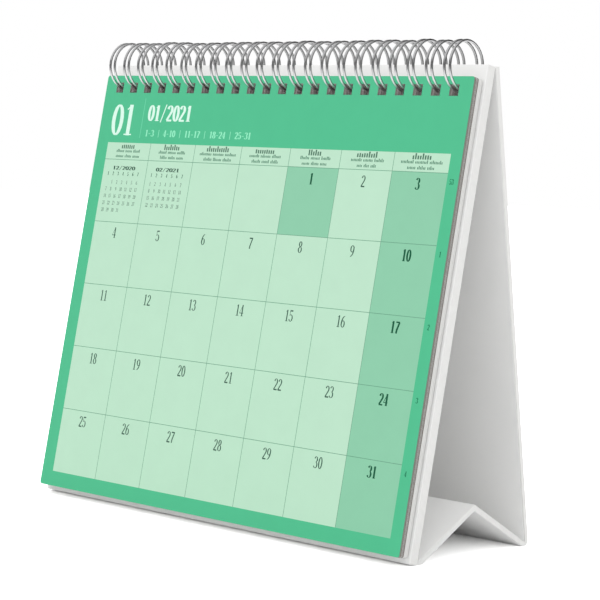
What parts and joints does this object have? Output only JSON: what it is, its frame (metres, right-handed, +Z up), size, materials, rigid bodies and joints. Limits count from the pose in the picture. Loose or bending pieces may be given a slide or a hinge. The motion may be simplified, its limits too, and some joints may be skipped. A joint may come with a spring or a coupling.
{
  "type": "easel desk calendar",
  "caption": "Desk calendar on a folded white board easel, with month leaves that turn over on a twin-loop wire along its top edge.",
  "frame": {"origin": "on the table, under the middle of the calendar's box", "axes": "+Z up, +X along the binding to the reader's right, -Y towards the reader"},
  "size_m": [0.1968, 0.0714, 0.1843],
  "materials": {
    "board": "white covering paper, matt",
    "wire": "bright nickel-plated wire",
    "plain_leaves": "uncoated card edges",
    "printed_leaf": "matt green print on card"
  },
  "bodies": {
    "stand": {"easel_stand": "board", "wire_binding": "wire", "leaf_block": "plain_leaves"},
    "leaf": {"front_leaf": "printed_leaf"}
  },
  "joints": [
    {"name": "leaf_turn", "type": "hinge", "parent": "stand", "child": "leaf", "pos_m": [0, -0.00055, 0.17456], "axis": [-1, 0, 0], "range_deg": [0, 210]}
  ]
}
